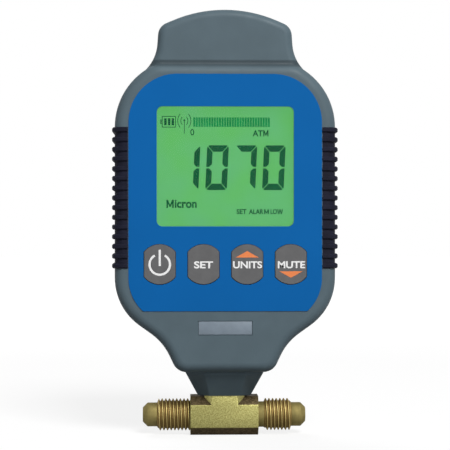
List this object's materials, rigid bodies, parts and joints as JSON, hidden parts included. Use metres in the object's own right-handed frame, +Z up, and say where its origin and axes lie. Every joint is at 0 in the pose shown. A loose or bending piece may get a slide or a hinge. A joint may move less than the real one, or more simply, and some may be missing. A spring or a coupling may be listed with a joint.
{
  "type": "digital vacuum gauge",
  "caption": "Handheld digital vacuum gauge: moulded housing with grips, backlit display and push keys, standing on a brass tee with male flare ends.",
  "frame": {"origin": "under the middle of the brass tee, at the housing's mid-depth, on the part's lowest level", "axes": "+Z up towards the crowned tab; +X along the tee's run, to the right seen from the front; the front, with display and keys, faces -Y"},
  "size_m": [0.0772, 0.0332, 0.1467],
  "materials": {
    "housing_plastic": "fine moulded grain, satin",
    "grip_rubber": "matt, moulded",
    "label_film": "printed polycarbonate film, velvet",
    "clear_window": "clear acrylic, polished",
    "key_plastic": "silicone-soft matt moulding",
    "black_plastic": "plain moulding",
    "display_glass": "backlit green liquid crystal",
    "light_guide": "clear to milky acrylic",
    "soft_rubber": "moulded silicone and nitrile",
    "board_laminate": "green solder mask",
    "steel": "zinc plated",
    "lead_insulation": "soft insulation",
    "battery_jacket": "plain lacquered jacket",
    "foam": "soft closed-cell foam",
    "forged_brass": "grit-blasted forging with turned ends",
    "plated_pins": "glass-sealed nickel plated header"
  },
  "bodies": {
    "housing": {"front_shell": "housing_plastic", "rear_shell": "housing_plastic", "left_grip": "grip_rubber", "right_grip": "grip_rubber", "face_label": "label_film", "display_window": "clear_window", "key_switches": "black_plastic", "lcd_frame": "black_plastic", "main_chip": "black_plastic", "buzzer": "black_plastic", "sensor_socket": "black_plastic", "battery_snap": "black_plastic", "lcd_glass": "display_glass", "backlight": "light_guide", "lcd_connectors": "soft_rubber", "stem_seal": "soft_rubber", "circuit_board": "board_laminate", "board_screws": "steel", "housing_screws": "steel", "stem_clip": "steel", "sensor_can": "steel", "sensing_bead": "steel", "sensor_leads": "lead_insulation", "battery_leads": "lead_insulation", "battery": "battery_jacket", "flare_tee": "forged_brass", "sensor_header": "plated_pins"},
    "power_button": {"power_key": "key_plastic", "power_plunger": "black_plastic"},
    "set_button": {"set_key": "key_plastic", "set_plunger": "black_plastic"},
    "units_button": {"units_key": "key_plastic", "units_plunger": "black_plastic"},
    "mute_button": {"mute_key": "key_plastic", "mute_plunger": "black_plastic"},
    "door": {"battery_door": "housing_plastic", "battery_pad": "foam"}
  },
  "joints": [
    {"name": "power_press", "type": "slide", "parent": "housing", "child": "power_button", "axis": [0, 1, 0], "range_m": [0, 0.0003], "stiffness_N_per_m": 400, "springref_m": -0.0005},
    {"name": "set_press", "type": "slide", "parent": "housing", "child": "set_button", "axis": [0, 1, 0], "range_m": [0, 0.0003], "stiffness_N_per_m": 400, "springref_m": -0.0005},
    {"name": "units_press", "type": "slide", "parent": "housing", "child": "units_button", "axis": [0, 1, 0], "range_m": [0, 0.0003], "stiffness_N_per_m": 400, "springref_m": -0.0005},
    {"name": "mute_press", "type": "slide", "parent": "housing", "child": "mute_button", "axis": [0, 1, 0], "range_m": [0, 0.0003], "stiffness_N_per_m": 400, "springref_m": -0.0005},
    {"name": "door_slide", "type": "slide", "parent": "housing", "child": "door", "axis": [0, 0, 1], "range_m": [0, 0.012]}
  ]
}
